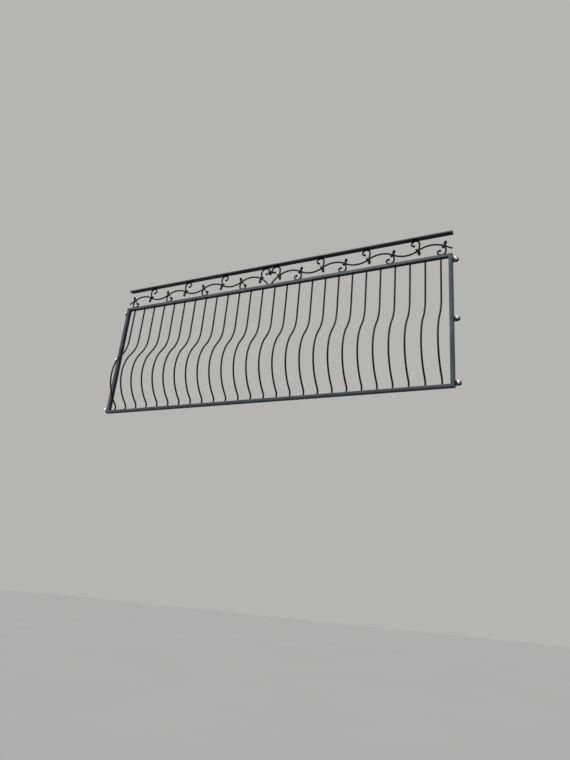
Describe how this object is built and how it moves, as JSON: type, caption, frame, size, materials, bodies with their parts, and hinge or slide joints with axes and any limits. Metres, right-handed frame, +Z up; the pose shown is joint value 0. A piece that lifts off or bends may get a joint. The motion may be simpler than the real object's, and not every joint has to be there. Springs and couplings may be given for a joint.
{
  "type": "juliet balcony",
  "caption": "Wall-mounted juliet balcony in dark coated steel: round bars with a low belly in a slim frame, and a forged vine of scrolls with a heart under a flat handrail.",
  "frame": {"origin": "centre of the bottom rail's flat back face, on the wall plane", "axes": "+X along the wall to the right as seen from outside, +Y into the wall, +Z up"},
  "size_m": [2.73, 0.136, 1.085],
  "materials": {
    "handrail_paint": "satin",
    "frame_paint": "satin",
    "leaf_paint": "satin",
    "bar_paint": "satin",
    "vine_paint": "satin"
  },
  "bodies": {
    "root": {"handrail": "handrail_paint", "top_rail": "frame_paint", "bottom_rail_with_bars": "bar_paint", "left_stile": "frame_paint", "right_stile": "frame_paint", "vine": "vine_paint", "left_leaf_1": "leaf_paint", "left_leaf_2": "leaf_paint", "left_leaf_3": "leaf_paint", "left_leaf_4": "leaf_paint", "left_leaf_5": "leaf_paint", "left_leaf_6": "leaf_paint", "left_leaf_7": "leaf_paint", "left_leaf_8": "leaf_paint", "right_leaf_1": "leaf_paint", "right_leaf_2": "leaf_paint", "right_leaf_3": "leaf_paint", "right_leaf_4": "leaf_paint", "right_leaf_5": "leaf_paint", "right_leaf_6": "leaf_paint", "right_leaf_7": "leaf_paint", "right_leaf_8": "leaf_paint", "leaf_middle": "leaf_paint"}
  },
  "joints": []
}
